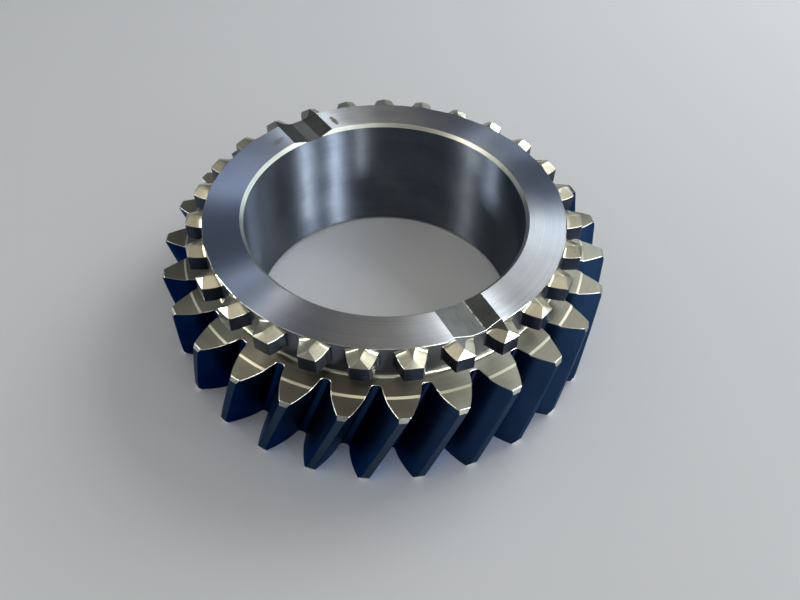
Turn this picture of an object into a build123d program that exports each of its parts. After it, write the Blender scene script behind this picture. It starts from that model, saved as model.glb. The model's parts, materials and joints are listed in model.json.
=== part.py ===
"""Helical speed gear with an integral dog-clutch tooth ring.

One machined piece. The gear axis is +Z and the lower face rests on Z = 0.
"""

from build123d import *
from math import acos, asin, atan, ceil, cos, degrees, pi, radians, sin, tan
import os

os.makedirs("parts", exist_ok=True)

# Gear teeth
GEAR_TEETH = 27
NORMAL_MODULE = 4.0
NORMAL_PRESSURE_ANGLE = radians(17.5)
HELIX_ANGLE = radians(17.74)  # right hand
PROFILE_SHIFT = 0.985
TIP_RADIUS = 64.25
ROOT_RADIUS = 54.0
ROOT_ROUND = 0.55  # depth of the round at the foot of each space
GEAR_CLOCKING = -5.35  # tooth centre at the upper rim face, from +X
TIP_CHAMFER_RADIAL = 0.6
TIP_CHAMFER_AXIAL = 1.25

# Axial stations
TOTAL_HEIGHT = 40.0
GEAR_FACE_HEIGHT = 29.25
FACE_STEP_DEPTH = 0.3
DOG_UNDERSIDE_HEIGHT = 33.6
ROOF_EDGE_DROP = 1.7

# Turned body
BORE_RADIUS = 40.0
BORE_CHAMFER = 0.95
FACE_STEP_RADIUS = 57.45
FACE_STEP_WIDTH = 0.65
HUB_RADIUS = 51.2
HUB_CORE_DEPTH = 4.0  # how far the dog ring is let into the hub
NECK_FLARE = 0.75

# Dog teeth
DOG_TEETH = 27
DOG_TIP_RADIUS = 56.1
DOG_TIP_HALF_WIDTH = 2.39
DOG_ROOT_HALF_WIDTH = 3.93
DOG_FLANK_BULGE = 0.17
DOG_CORNER_BEVEL = 0.5
DOG_CLOCKING = -5.94  # tooth centre, from -Y
ROOF_SLOPE = radians(30.0)

# Oil grooves across the hub face, each centred on a space between dog teeth
GROOVE_WIDTH = 13.6
GROOVE_FLOOR_WIDTH = 4.0
GROOVE_DEPTH = 1.1
GROOVE_SPACES = (2, 16)

# Cutters run past the metal by this much
OVERRUN = 2.0
SPACE_OVERRUN = 0.8  # small enough to keep neighbouring tooth spaces apart
STEPS_PER_PITCH = 4  # least number of loft steps while a tooth turns one pitch

# Gear geometry derived from the values above
transverse_module = NORMAL_MODULE / cos(HELIX_ANGLE)
transverse_pressure = atan(tan(NORMAL_PRESSURE_ANGLE) / cos(HELIX_ANGLE))
pitch_radius = GEAR_TEETH * transverse_module / 2
base_radius = pitch_radius * cos(transverse_pressure)
shift_growth = 2 * PROFILE_SHIFT * NORMAL_MODULE * tan(transverse_pressure)
tooth_thickness = transverse_module * pi / 2 + shift_growth
gear_pitch = 360 / GEAR_TEETH
space_half_angle = pi / GEAR_TEETH - tooth_thickness / (2 * pitch_radius)
twist_per_mm = tan(HELIX_ANGLE) / pitch_radius
rim_face_height = GEAR_FACE_HEIGHT - FACE_STEP_DEPTH

# Dog geometry derived from the values above
dog_pitch = 360 / DOG_TEETH
roof_edge_height = TOTAL_HEIGHT - ROOF_EDGE_DROP
dog_depth = DOG_TIP_RADIUS - HUB_RADIUS
dog_flank_lean = atan((DOG_ROOT_HALF_WIDTH - DOG_TIP_HALF_WIDTH) / dog_depth)


def involute(radius):
    """Return the involute function of the profile angle at a radius."""
    angle = acos(min(1.0, base_radius / radius))
    return tan(angle) - angle


def space_point(radius, side):
    """Return a point on one flank of a tooth space centred on +X."""
    half = space_half_angle + involute(radius) - involute(pitch_radius)
    return (radius * cos(half), side * radius * sin(half))


def gear_plane(height):
    """Return the plane at a height, with its X axis along a tooth space."""
    turn = radians(GEAR_CLOCKING + gear_pitch / 2) + twist_per_mm * (height - rim_face_height)
    return Plane(origin=(0, 0, height), x_dir=(cos(turn), sin(turn), 0), z_dir=(0, 0, 1))


# Plan shape of one gear tooth space, centred on +X
space_outer_radius = TIP_RADIUS + SPACE_OVERRUN
space_foot_radius = ROOT_RADIUS + ROOT_ROUND
space_middle_radius = (space_foot_radius + space_outer_radius) / 2
flank_radii = (space_foot_radius, space_middle_radius, space_outer_radius)

with BuildSketch() as gear_space:
    with BuildLine():
        upper_flank = ThreePointArc(*[space_point(r, 1) for r in flank_radii])
        lower_flank = ThreePointArc(*[space_point(r, -1) for r in flank_radii])
        ThreePointArc(upper_flank @ 0, (ROOT_RADIUS, 0), lower_flank @ 0)
        Line(upper_flank @ 1, lower_flank @ 1)
    make_face()

# Radius over the tips at each height of the toothed body. From one station to the
# next the teeth turn by well under half a pitch, so the loft follows each tooth.
chamfered_radius = TIP_RADIUS - TIP_CHAMFER_RADIAL
land_height = rim_face_height - 2 * TIP_CHAMFER_AXIAL
land_twist = degrees(twist_per_mm * land_height)
land_steps = ceil(STEPS_PER_PITCH * land_twist / gear_pitch)
tip_stations = [(0, chamfered_radius)]
for step in range(land_steps + 1):
    tip_stations.append((TIP_CHAMFER_AXIAL + land_height * step / land_steps, TIP_RADIUS))
tip_stations.append((rim_face_height, chamfered_radius))

# Cutter that forms one roof facet of a dog tooth centred on +X
facet_plane = Plane(
    origin=(HUB_RADIUS, DOG_ROOT_HALF_WIDTH, roof_edge_height),
    x_dir=(sin(dog_flank_lean), cos(dog_flank_lean), 0),
    z_dir=(cos(dog_flank_lean), -sin(dog_flank_lean), 0),
)
facet_reach = DOG_ROOT_HALF_WIDTH + OVERRUN
facet_rise = facet_reach * tan(ROOF_SLOPE)
facet_fall = OVERRUN * tan(ROOF_SLOPE)
facet_top = facet_rise + OVERRUN
facet_length = dog_depth + 2 * OVERRUN

with BuildPart() as facet_cutter:
    with BuildSketch(facet_plane.offset(-OVERRUN)):
        with BuildLine():
            Polyline(
                (OVERRUN, -facet_fall),
                (-facet_reach, facet_rise),
                (-facet_reach, facet_top),
                (OVERRUN, facet_top),
                close=True,
            )
        make_face()
    extrude(amount=facet_length)
    with BuildSketch(Plane.XY):
        Circle(HUB_RADIUS)
    extrude(amount=roof_edge_height + facet_top, mode=Mode.SUBTRACT)

# Cutter for one oil groove running outward along +X
groove_start = (BORE_RADIUS - OVERRUN, 0, TOTAL_HEIGHT)
groove_plane = Plane(origin=groove_start, x_dir=(0, 1, 0), z_dir=(1, 0, 0))
groove_reach = DOG_TIP_RADIUS - BORE_RADIUS + 2 * OVERRUN

with BuildPart() as groove_cutter:
    with BuildSketch(groove_plane):
        with BuildLine():
            Polyline(
                (GROOVE_WIDTH / 2, 0),
                (GROOVE_FLOOR_WIDTH / 2, -GROOVE_DEPTH),
                (-GROOVE_FLOOR_WIDTH / 2, -GROOVE_DEPTH),
                (-GROOVE_WIDTH / 2, 0),
                (-GROOVE_WIDTH / 2, OVERRUN),
                (GROOVE_WIDTH / 2, OVERRUN),
                close=True,
            )
        make_face()
    extrude(amount=groove_reach)

# Plan shape of the spaces between the dog teeth
space_root_angle = pi / DOG_TEETH - asin(DOG_ROOT_HALF_WIDTH / HUB_RADIUS)
space_tip_angle = pi / DOG_TEETH - asin(DOG_TIP_HALF_WIDTH / DOG_TIP_RADIUS)
space_root_x = HUB_RADIUS * cos(space_root_angle)
space_root_y = HUB_RADIUS * sin(space_root_angle)
space_tip_x = DOG_TIP_RADIUS * cos(space_tip_angle)
space_tip_y = DOG_TIP_RADIUS * sin(space_tip_angle)

with BuildSketch() as one_space:
    with BuildLine():
        root = ThreePointArc(
            (space_root_x, space_root_y), (HUB_RADIUS, 0), (space_root_x, -space_root_y)
        )
        left = SagittaArc(root @ 0, (space_tip_x, space_tip_y), -DOG_FLANK_BULGE)
        right = SagittaArc(root @ 1, (space_tip_x, -space_tip_y), DOG_FLANK_BULGE)
        left_run = Line(left @ 1, left @ 1 + (left % 1) * OVERRUN)
        right_run = Line(right @ 1, right @ 1 + (right % 1) * OVERRUN)
        Line(left_run @ 1, right_run @ 1)
    make_face()
    inner_corners = one_space.vertices().sort_by(Axis.X)[:2]
    chamfer(inner_corners, length=DOG_CORNER_BEVEL)

# One pitch of the dog ring: a space centred on +X between two half teeth
core_radius = HUB_RADIUS - HUB_CORE_DEPTH
half_pitch = radians(dog_pitch / 2)
sector_plane = Plane(
    origin=(0, 0, 0),
    x_dir=(cos(half_pitch), -sin(half_pitch), 0),
    z_dir=(-sin(half_pitch), -cos(half_pitch), 0),
)

with BuildPart() as dog_sector:
    with BuildSketch(sector_plane):
        with BuildLine():
            Polyline(
                (core_radius, DOG_UNDERSIDE_HEIGHT),
                (DOG_TIP_RADIUS, DOG_UNDERSIDE_HEIGHT),
                (DOG_TIP_RADIUS, roof_edge_height),
                (DOG_TIP_RADIUS - ROOF_EDGE_DROP, TOTAL_HEIGHT),
                (core_radius, TOTAL_HEIGHT),
                close=True,
            )
        make_face()
    revolve(axis=Axis.Z, revolution_arc=dog_pitch)
    with BuildSketch(Plane.XY.offset(DOG_UNDERSIDE_HEIGHT)):
        add(one_space.sketch)
    extrude(amount=TOTAL_HEIGHT - DOG_UNDERSIDE_HEIGHT, mode=Mode.SUBTRACT)
    with PolarLocations(0, 1, start_angle=-dog_pitch / 2):
        add(facet_cutter.part, mode=Mode.SUBTRACT)
    with PolarLocations(0, 1, start_angle=dog_pitch / 2):
        add(facet_cutter.part.mirror(Plane.XZ), mode=Mode.SUBTRACT)

# The three pitches of dog ring that an oil groove runs through
with BuildPart() as grooved_sectors:
    with Locations(Rotation(0, 0, -dog_pitch), Rotation(0, 0, 0), Rotation(0, 0, dog_pitch)):
        add(dog_sector.part)
    add(groove_cutter.part, mode=Mode.SUBTRACT)

# Angular places of the dog spaces, sorted by whether a groove crosses them
dog_start = -90 + DOG_CLOCKING + dog_pitch / 2
grooved = [space + side for space in GROOVE_SPACES for side in (-1, 0, 1)]
plain = [space for space in range(DOG_TEETH) if space not in grooved]
plain_places = [Rotation(0, 0, dog_start + dog_pitch * space) for space in plain]
groove_places = [Rotation(0, 0, dog_start + dog_pitch * space) for space in GROOVE_SPACES]

# Raised face, neck and hub core above the rim of the toothed body
with BuildPart() as hub:
    with BuildSketch(Plane.XZ):
        with BuildLine():
            Polyline(
                (0, rim_face_height),
                (FACE_STEP_RADIUS + FACE_STEP_WIDTH, rim_face_height),
                (FACE_STEP_RADIUS, GEAR_FACE_HEIGHT),
                (HUB_RADIUS + NECK_FLARE, GEAR_FACE_HEIGHT),
                (HUB_RADIUS, GEAR_FACE_HEIGHT + NECK_FLARE),
                (HUB_RADIUS, DOG_UNDERSIDE_HEIGHT),
                (core_radius, DOG_UNDERSIDE_HEIGHT),
                (core_radius, TOTAL_HEIGHT),
                (0, TOTAL_HEIGHT),
                close=True,
            )
        make_face()
    revolve(axis=Axis.Z)
    with BuildSketch(gear_plane(rim_face_height)):
        with PolarLocations(0, GEAR_TEETH):
            add(gear_space.sketch)
    extrude(amount=FACE_STEP_DEPTH, mode=Mode.SUBTRACT)

# The gear itself
with BuildPart() as gear:
    # Toothed body, ruled through turned copies of its outline
    for height, outline_radius in tip_stations:
        with BuildSketch(gear_plane(height)):
            Circle(outline_radius)
            with PolarLocations(0, GEAR_TEETH):
                add(gear_space.sketch, mode=Mode.SUBTRACT)
    loft(ruled=True)
    add(hub.part)

    # Bore, chamfered at both ends
    with BuildSketch(Plane.XZ):
        with BuildLine():
            Polyline(
                (0, 0),
                (BORE_RADIUS + BORE_CHAMFER, 0),
                (BORE_RADIUS, BORE_CHAMFER),
                (BORE_RADIUS, TOTAL_HEIGHT - BORE_CHAMFER),
                (BORE_RADIUS + BORE_CHAMFER, TOTAL_HEIGHT),
                (0, TOTAL_HEIGHT),
                close=True,
            )
        make_face()
    revolve(axis=Axis.Z, mode=Mode.SUBTRACT)

    # Oil grooves through the hub core
    with Locations(*groove_places):
        add(groove_cutter.part, mode=Mode.SUBTRACT)

    # Dog ring round the hub core
    with Locations(*plain_places):
        add(dog_sector.part)
    with Locations(*groove_places):
        add(grooved_sectors.part)

gear.part.label = "gear"
export_step(gear.part, "parts/gear.step")
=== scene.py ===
"""A helical speed gear with a dog clutch ring, dressed over its CAD frame.

The gear's skin is one closed mesh, built from sheets of quads that are laid
round the axis one tooth pitch at a time and welded together. Every kind of
machined surface on it has a finish of its own. Sizes are in millimetres and
angles in radians, unless a name or docstring says otherwise.
"""

from __future__ import annotations

import json
import logging
from collections.abc import Iterator
from contextlib import contextmanager
from dataclasses import dataclass, field, replace
from enum import Enum
from math import atan, cos, pi, radians, sin, sqrt, tan

import bmesh
import bpy
import numpy as np
from mathutils import Matrix, Vector

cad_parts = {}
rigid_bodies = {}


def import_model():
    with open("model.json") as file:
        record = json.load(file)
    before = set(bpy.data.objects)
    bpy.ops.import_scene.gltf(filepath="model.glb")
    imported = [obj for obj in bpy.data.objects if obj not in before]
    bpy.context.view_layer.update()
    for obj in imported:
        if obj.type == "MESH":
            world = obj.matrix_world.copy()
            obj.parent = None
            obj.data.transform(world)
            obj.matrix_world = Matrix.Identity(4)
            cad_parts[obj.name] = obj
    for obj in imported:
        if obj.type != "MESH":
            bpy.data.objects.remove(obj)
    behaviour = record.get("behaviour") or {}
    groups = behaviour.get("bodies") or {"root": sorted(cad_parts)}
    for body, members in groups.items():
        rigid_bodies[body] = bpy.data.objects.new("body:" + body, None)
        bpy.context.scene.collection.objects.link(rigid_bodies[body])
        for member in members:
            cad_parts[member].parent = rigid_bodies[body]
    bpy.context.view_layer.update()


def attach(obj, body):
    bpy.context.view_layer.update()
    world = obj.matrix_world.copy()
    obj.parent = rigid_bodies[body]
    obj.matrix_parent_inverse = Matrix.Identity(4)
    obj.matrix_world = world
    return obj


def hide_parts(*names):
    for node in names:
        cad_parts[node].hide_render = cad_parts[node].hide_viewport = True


LOG = logging.getLogger("speed_gear")
MM = 0.001
WELD_DISTANCE = 2e-6
SHARP_ANGLE = radians(21.0)

Colour = tuple[float, float, float]
Grid = np.ndarray | float


class Region(Enum):
    """Kinds of surface on the gear, in the order of its material slots."""

    FLANK = "flank"
    LAND = "land"
    TIP_CHAMFER = "tip_chamfer"
    GEAR_FACE = "gear_face"
    FACE_STEP = "face_step"
    EDGE_BREAK = "edge_break"
    NECK = "neck"
    DOG_SIDE = "dog_side"
    DOG_ROOF = "dog_roof"
    HUB_FACE = "hub_face"
    BORE = "bore"
    BORE_CHAMFER = "bore_chamfer"
    LOWER_FACE = "lower_face"
    GROOVE_FLOOR = "groove_floor"
    GROOVE_SIDE = "groove_side"

    @property
    def slot(self) -> int:
        """Return the material slot number of this region."""
        return list(Region).index(self)


Band = tuple[int, int | None, Region]


# --------------------------------------------------------------------------
# Small helpers
# --------------------------------------------------------------------------


def plan(radius: Grid, angle: Grid) -> np.ndarray:
    """Return plan points (x, y) from radii and angles."""
    return np.stack([radius * np.cos(angle), radius * np.sin(angle)], axis=-1)


def polar(points: np.ndarray) -> tuple[np.ndarray, np.ndarray]:
    """Return the radii and angles of plan points (x, y)."""
    x, y = points[..., 0], points[..., 1]
    return np.hypot(x, y), np.arctan2(y, x)


def left_of(run: np.ndarray) -> np.ndarray:
    """Return unit vectors that point to the left of each direction given."""
    run = run / np.linalg.norm(run, axis=1, keepdims=True)
    return np.stack([-run[:, 1], run[:, 0]], axis=-1)


def rows(low: Grid, high: Grid, steps: int) -> np.ndarray:
    """Return evenly spaced rows from one value, or row of values, to another."""
    return np.linspace(np.atleast_1d(low), high, steps + 1)


def put(name: str, data: bpy.types.ID) -> bpy.types.Object:
    """Make an object and link it to the scene.

    Args:
        name: The object's name.
        data: Its mesh, light or camera.

    Returns:
        The object.
    """
    item = bpy.data.objects.new(name, data)
    bpy.context.scene.collection.objects.link(item)
    return item


@contextmanager
def editing(mesh: bpy.types.Mesh) -> Iterator[bmesh.types.BMesh]:
    """Open a mesh for editing and write it back afterwards.

    Args:
        mesh: The mesh.

    Yields:
        Its editable form.
    """
    work = bmesh.new()
    work.from_mesh(mesh)
    yield work
    work.to_mesh(mesh)
    work.free()


def give_slots(mesh: bpy.types.Mesh) -> None:
    """Give a mesh one material slot for each region."""
    for region in Region:
        mesh.materials.append(bpy.data.materials[region.value])


def smooth(mesh: bpy.types.Mesh) -> None:
    """Shade a mesh smooth, with sharp edges at corners and between finishes.

    Args:
        mesh: The mesh.
    """
    mesh.shade_smooth()
    mesh.set_sharp_from_angle(angle=SHARP_ANGLE)
    with editing(mesh) as work:
        for edge in work.edges:
            if len({face.material_index for face in edge.link_faces}) > 1:
                edge.smooth = False
        loose = sum(1 for edge in work.edges if not edge.is_manifold)
        triangles = sum(len(face.verts) - 2 for face in work.faces)
    LOG.info("skin: %d open edges, %d triangles", loose, triangles)


# --------------------------------------------------------------------------
# Tooth outlines
# --------------------------------------------------------------------------


@dataclass(frozen=True)
class ToothForm:
    """Half of a tooth in plan, from the middle of a space to its own middle.

    In plan points (x, y), x runs out along the tooth's centre line and y is
    the distance to one side of it.
    """

    count: int
    root_radius: float
    root_fillet: float
    tip_radius: float
    corner: float
    floor_steps: int
    fillet_steps: int
    search_start: float = 0.02
    search_points: int = 2000

    @property
    def half_pitch(self) -> float:
        """Return half the angle between neighbouring teeth."""
        return pi / self.count

    @property
    def foot_radius(self) -> float:
        """Return the radius at which the root fillet meets the flank."""
        _, foot = self.foot()
        return float(np.hypot(*foot))

    def half_angle(self, radii: np.ndarray) -> np.ndarray:
        """Return the tooth's half angle at each radius."""
        raise NotImplementedError

    def flank(self, radii: np.ndarray) -> np.ndarray:
        """Return plan points on the flank at the given radii."""
        return plan(radii, self.half_angle(radii))

    def foot(self) -> tuple[np.ndarray, np.ndarray]:
        """Find the root fillet.

        Returns:
            The fillet's centre, and the plan point where it meets the flank.
        """
        start = self.root_radius + self.search_start
        radii = np.linspace(start, self.tip_radius, self.search_points)
        points = self.flank(radii)
        normals = left_of(np.gradient(points, radii, axis=0))
        centres = points + self.root_fillet * normals
        reach = np.linalg.norm(centres, axis=1)
        wanted = self.root_radius + self.root_fillet
        centre = np.array([np.interp(wanted, reach, centres[:, k]) for k in (0, 1)])
        foot = np.array([np.interp(wanted, reach, points[:, k]) for k in (0, 1)])
        return centre, foot

    def half_outline(self, tip: float, shares: np.ndarray) -> np.ndarray:
        """Lay the outline's points from the space's middle to the land's edge.

        Args:
            tip: Radius over the tooth's land.
            shares: Where the flank's points lie, as shares of its height.

        Returns:
            Plan points, one a row.
        """
        centre, foot = self.foot()
        _, start = polar(centre)
        floor = np.linspace(self.half_pitch, start, self.floor_steps + 1)
        _, inward = polar(-centre)
        _, upward = polar(foot - centre)
        turn = (upward - inward + pi) % (2 * pi) - pi
        arc = inward + turn * np.linspace(0, 1, self.fillet_steps + 1)[1:]
        fillet = centre + plan(self.root_fillet, arc)
        radii = self.foot_radius + shares * (tip - self.corner - self.foot_radius)
        land = self.half_angle(np.array([tip])) - self.corner / tip
        root = plan(self.root_radius, floor)
        return np.concatenate([root, fillet, self.flank(radii), plan(tip, land)])

    @staticmethod
    def inset(points: np.ndarray, amounts: np.ndarray) -> np.ndarray:
        """Move an outline's points into the metal, keeping its corners.

        Args:
            points: Plan points from a space's middle to the land's edge.
            amounts: How far each one moves.

        Returns:
            The moved plan points.
        """
        normals = left_of(np.diff(points, axis=0))
        first = points[:1] / np.linalg.norm(points[:1])
        last = points[-1:] / np.linalg.norm(points[-1:])
        before = np.concatenate([first, normals])
        after = np.concatenate([normals, last])
        mitre = (before + after) / (1 + np.sum(before * after, axis=1, keepdims=True))
        return points - mitre * amounts[:, None]

    def ring(self, outline: np.ndarray, tooth: np.ndarray) -> np.ndarray:
        """Return the angles of one pitch's columns round the root.

        Args:
            outline: Plan points from a space's middle to the land's edge.
            tooth: Angles of the columns below the tooth itself.

        Returns:
            Angles from the middle of one space to the middle of the next.
        """
        _, angles = polar(outline)
        floor = angles[: self.floor_steps]
        return np.concatenate([-floor, tooth, floor[::-1]])


@dataclass(frozen=True)
class HelicalForm(ToothForm):
    """Involute gear tooth on a helix."""

    normal_module: float = 4.0
    normal_pressure: float = radians(17.5)
    helix: float = radians(17.74)
    profile_shift: float = 0.985

    @property
    def transverse_module(self) -> float:
        """Return the module in the plane of rotation."""
        return self.normal_module / cos(self.helix)

    @property
    def transverse_pressure(self) -> float:
        """Return the pressure angle in the plane of rotation."""
        return atan(tan(self.normal_pressure) / cos(self.helix))

    @property
    def pitch_radius(self) -> float:
        """Return the pitch circle's radius."""
        return self.count * self.transverse_module / 2

    @property
    def twist_per_mm(self) -> float:
        """Return how far the tooth turns for each millimetre of height."""
        return tan(self.helix) / self.pitch_radius

    def half_angle(self, radii: np.ndarray) -> np.ndarray:
        """Return the involute tooth's half angle at each radius.

        Args:
            radii: Distances from the gear's axis.

        Returns:
            Half angles, one for each radius.
        """
        pressure = self.transverse_pressure
        base = self.pitch_radius * cos(pressure)
        at_radius = np.arccos(np.minimum(1.0, base / radii))
        fall = (np.tan(at_radius) - at_radius) - (tan(pressure) - pressure)
        growth = 2 * self.profile_shift * self.normal_module * tan(pressure)
        thickness = self.transverse_module * pi / 2 + growth
        return thickness / (2 * self.pitch_radius) - fall


@dataclass(frozen=True)
class DogForm(ToothForm):
    """Dog clutch tooth that narrows outward between slightly full flanks."""

    root_half_width: float = 3.93
    tip_half_width: float = 2.39
    bulge: float = 0.17
    curve_span: tuple[float, float] = (-0.15, 1.1)
    curve_points: int = 600

    @property
    def lean(self) -> float:
        """Return how far the flank leans from the centre line."""
        narrowing = self.root_half_width - self.tip_half_width
        return atan(narrowing / (self.tip_radius - self.root_radius))

    @staticmethod
    def corner_at(radius: float, half_width: float) -> np.ndarray:
        """Return the plan point at a radius and a distance from the centre line."""
        return np.array([sqrt(radius**2 - half_width**2), half_width])

    def half_angle(self, radii: np.ndarray) -> np.ndarray:
        """Return the dog tooth's half angle at each radius.

        Args:
            radii: Distances from the gear's axis.

        Returns:
            Half angles, one for each radius.
        """
        start = self.corner_at(self.root_radius, self.root_half_width)
        chord = self.corner_at(self.tip_radius, self.tip_half_width) - start
        share = rows(*self.curve_span, self.curve_points - 1)
        fullness = self.bulge * 4 * share * (1 - share)
        points = start + chord * share + left_of(chord[None]) * fullness
        return np.interp(radii, *polar(points))


# --------------------------------------------------------------------------
# The skin
# --------------------------------------------------------------------------


@dataclass
class Skin:
    """Sheets of quads that are welded into one closed mesh."""

    points: list[np.ndarray] = field(default_factory=list)
    quads: list[np.ndarray] = field(default_factory=list)
    slots: list[np.ndarray] = field(default_factory=list)
    size: int = 0

    def sheet(self, radius: Grid, angle: Grid, height: Grid, region: Region) -> None:
        """Add one sheet of points in polar form, spread to a common grid.

        Args:
            radius: Distance of each point from the axis.
            angle: Angle of each point round the axis.
            height: Height of each point.
            region: The kind of surface that the sheet is.
        """
        radius, angle, height = np.broadcast_arrays(radius, angle, height)
        count, columns = radius.shape
        spots = np.stack([radius * np.cos(angle), radius * np.sin(angle), height], axis=-1)
        index = np.arange(count * columns).reshape(count, columns) + self.size
        corners = [index[:-1, :-1], index[:-1, 1:], index[1:, 1:], index[1:, :-1]]
        quads = np.stack(corners, axis=-1).reshape(-1, 4)
        self.points.append(spots.reshape(-1, 3) * MM)
        self.quads.append(quads)
        self.slots.append(np.full(len(quads), region.slot))
        self.size += count * columns

    def banded(self, radius: Grid, angle: Grid, height: Grid, bands: tuple[Band, ...]) -> None:
        """Add a grid of points as several sheets, each some of its rows.

        Args:
            radius: Distance of each point from the axis.
            angle: Angle of each point round the axis.
            height: Height of each point.
            bands: First row, end row and kind of surface of each sheet.
        """
        radius, angle, height = np.broadcast_arrays(radius, angle, height)
        for first, end, region in bands:
            part = slice(first, end)
            self.sheet(radius[part], angle[part], height[part], region)

    def build(self, name: str) -> bpy.types.Object:
        """Weld the sheets into one object.

        Args:
            name: The object's name.

        Returns:
            The object, linked to the scene, with outward normals.
        """
        mesh = bpy.data.meshes.new(name)
        points, quads = np.concatenate(self.points), np.concatenate(self.quads)
        mesh.from_pydata(points.tolist(), [], quads.tolist())
        slots = np.concatenate(self.slots).astype(np.int32)
        mesh.polygons.foreach_set("material_index", slots)
        with editing(mesh) as work:
            bmesh.ops.remove_doubles(work, verts=work.verts, dist=WELD_DISTANCE)
            bmesh.ops.recalc_face_normals(work, faces=work.faces)
            LOG.info("%s: %d faces", name, len(work.faces))
        give_slots(mesh)
        return put(name, mesh)


@dataclass(frozen=True)
class HelicalTeeth:
    """The toothed body: flanks, lands, roots and both gear faces."""

    form: HelicalForm
    clocking: float
    face_height: float
    step_depth: float
    step_radius: float
    step_width: float
    chamfer_radial: float = 0.6
    chamfer_axial: float = 1.25
    edge_break: float = 0.13
    columns: int = 12
    inner_steps: int = 3
    outer_steps: int = 7
    wall_steps: int = 12

    @property
    def rim_height(self) -> float:
        """Return the height of the lowered rim round the upper face."""
        return self.face_height - self.step_depth

    @property
    def places(self) -> np.ndarray:
        """Return the angle of each tooth's middle at the rim's height."""
        pitch = 2 * self.form.half_pitch
        return self.clocking + pitch * (np.arange(self.form.count) - round(pi / 2 / pitch))

    @property
    def across(self) -> np.ndarray:
        """Return the places of the columns across a tooth, from -1 to 1."""
        return np.linspace(-1, 1, self.columns + 1)

    def twist(self, height: Grid) -> Grid:
        """Return how far the teeth are turned at each height."""
        return self.form.twist_per_mm * (height - self.rim_height)

    def shares(self) -> np.ndarray:
        """Space the flank's points, with two at the step in the face.

        Returns:
            Their places as shares of the flank's height.
        """
        low = self.form.foot_radius
        high = self.form.tip_radius - self.chamfer_radial - self.form.corner
        inner = np.linspace(low, self.step_radius, self.inner_steps + 1)[1:]
        outer = np.linspace(self.step_radius + self.step_width, high, self.outer_steps + 1)
        return (np.concatenate([inner, outer]) - low) / (high - low)

    def tip_at(self, height: float) -> float:
        """Measure the teeth at a height, tip chamfers included.

        Args:
            height: The height above the lower face.

        Returns:
            The radius over the lands.
        """
        from_end = min(height, self.rim_height - height)
        fall = max(0.0, 1 - from_end / self.chamfer_axial)
        return self.form.tip_radius - self.chamfer_radial * min(1.0, fall)

    def outline_at(self, height: float) -> np.ndarray:
        """Return the plan points of half a tooth at a height."""
        return self.form.half_outline(self.tip_at(height), self.shares())

    def ring(self, outline: np.ndarray) -> np.ndarray:
        """Return the angles of one pitch's columns at the root."""
        _, angles = polar(outline)
        return self.form.ring(outline, angles[self.form.floor_steps] * self.across)

    def face_rows(self, height: float, stepped: bool) -> tuple[np.ndarray, np.ndarray]:
        """Lay the inset outline that borders a gear face.

        Args:
            height: The rim's height.
            stepped: Whether the face stands proud inside the step.

        Returns:
            The outline's inset plan points and their heights.
        """
        outline = self.outline_at(height)
        inner = self.form.inset(outline, np.full(len(outline), self.edge_break))
        radii, _ = polar(outline)
        inside = radii < self.step_radius + self.step_width / 2
        return inner, height + self.step_depth * (inside & stepped)

    def lay_face(self, skin: Skin, height: float, stepped: bool, face: Region) -> None:
        """Add one gear face over all the teeth.

        Args:
            skin: Where the sheets go.
            height: The rim's height.
            stepped: Whether the face stands proud inside the step.
            face: The kind of surface.
        """
        inner, heights = self.face_rows(height, stepped)
        radii, angles = (part[self.form.floor_steps :, None] for part in polar(inner))
        heights = heights[self.form.floor_steps :, None]
        twisted = angles * self.across + self.twist(heights)
        bands = ((0, None, face),)
        if stepped:
            step = int(np.argmax(heights[:, 0] < height + self.step_depth / 2))
            bands = ((0, step, face), (step - 1, step + 1, Region.FACE_STEP), (step, None, face))
        for place in self.places:
            skin.banded(radii, place + twisted, heights, bands)

    def lay_walls(self, skin: Skin) -> None:
        """Add the flanks, lands and root floors, with the breaks along their ends.

        Args:
            skin: Where the sheets go.
        """
        shoulder = self.rim_height - self.chamfer_axial
        levels = np.concatenate([
            [self.edge_break],
            np.linspace(self.chamfer_axial, shoulder, self.wall_steps + 1),
            [self.rim_height - self.edge_break],
        ])
        lower, lower_heights = self.face_rows(0.0, False)
        upper, upper_heights = self.face_rows(self.rim_height, True)
        outlines = [self.outline_at(level) for level in levels]
        heights = np.repeat(levels[:, None], len(lower), axis=1)
        heights[-1] = upper_heights - self.edge_break
        heights = np.stack([lower_heights, *heights, upper_heights])
        radii, angles = polar(np.stack([lower, *outlines, upper]))
        breaks = ((0, 2, Region.EDGE_BREAK), (-2, None, Region.EDGE_BREAK))
        walls = ((1, -1, Region.FLANK), *breaks)
        chamfers = ((1, 3, Region.TIP_CHAMFER), (-3, -1, Region.TIP_CHAMFER))
        lands = (chamfers[0], (2, -2, Region.LAND), chamfers[1], *breaks)
        for place in self.places:
            turned = place + self.twist(heights)
            for side in (-1, 1):
                skin.banded(radii, turned + side * angles, heights, walls)
            land = turned[:, -1:] + angles[:, -1:] * self.across
            skin.banded(radii[:, -1:], land, heights[:, -1:], lands)

    def lay(self, skin: Skin) -> None:
        """Add every sheet of the toothed body.

        Args:
            skin: Where the sheets go.
        """
        self.lay_walls(skin)
        self.lay_face(skin, self.rim_height, True, Region.GEAR_FACE)
        self.lay_face(skin, 0.0, False, Region.LOWER_FACE)
        LOG.info("helical teeth: %d", self.form.count)


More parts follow.
